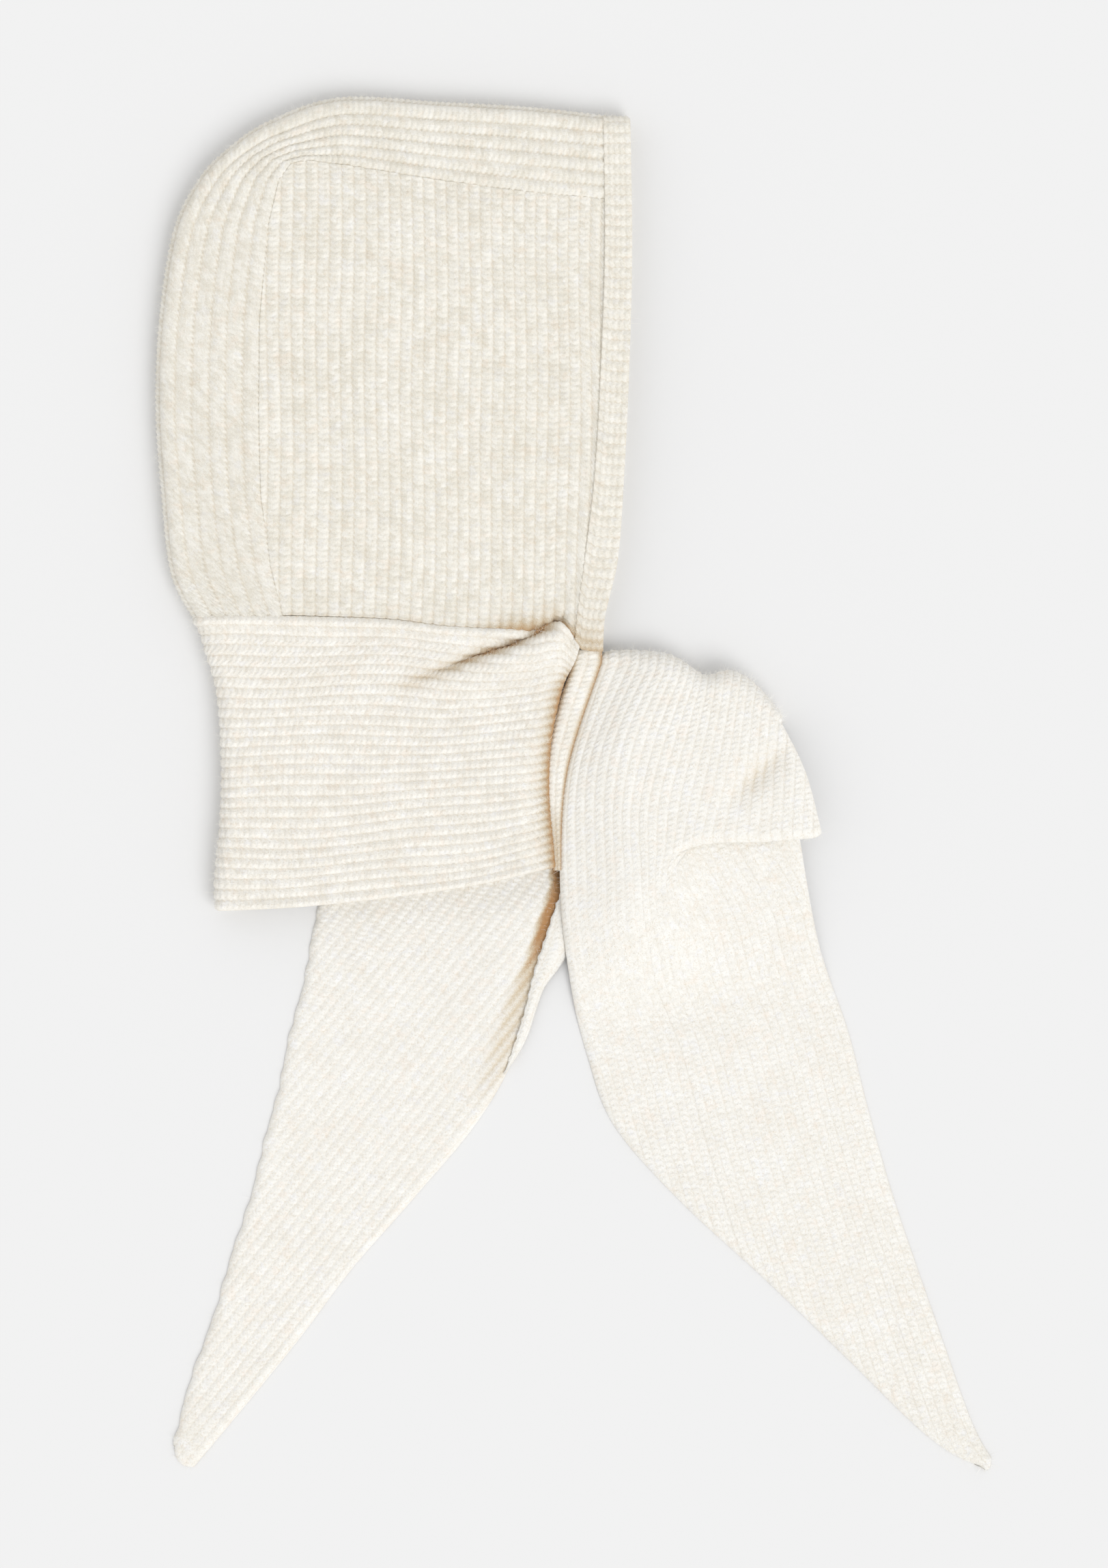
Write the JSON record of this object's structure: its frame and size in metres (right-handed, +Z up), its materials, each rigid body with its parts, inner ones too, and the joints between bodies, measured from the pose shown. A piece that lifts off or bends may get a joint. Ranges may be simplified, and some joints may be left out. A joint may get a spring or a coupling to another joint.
{
  "type": "snood hood",
  "caption": "Ribbed knit hood with a deep neck collar and two pointed scarf tails crossed at the throat, lying flat on its side.",
  "frame": {"origin": "middle of the flattened hood's outline, on the surface it lies on", "axes": "+X from the back of the head to the face, +Y from the tails to the crown, +Z up off the surface"},
  "size_m": [0.4624, 0.7606, 0.0239],
  "materials": {
    "knit_hood": "chunky ribbed wool knit, cream melange, fuzzy",
    "knit_gusset": "chunky ribbed wool knit, cream melange, fuzzy",
    "knit_band": "doubled ribbed wool knit, cream melange, fuzzy",
    "knit_collar": "chunky ribbed wool knit, cream melange, fuzzy",
    "knit_tail": "ribbed wool knit, cream melange, fuzzy"
  },
  "bodies": {
    "root": {"crown_gusset": "knit_gusset", "hood_side_upper": "knit_hood", "hood_side_lower": "knit_hood", "face_band": "knit_band", "neck_collar": "knit_collar", "tail_over": "knit_tail", "tail_under": "knit_tail", "throat_edge": "knit_band"}
  },
  "joints": []
}
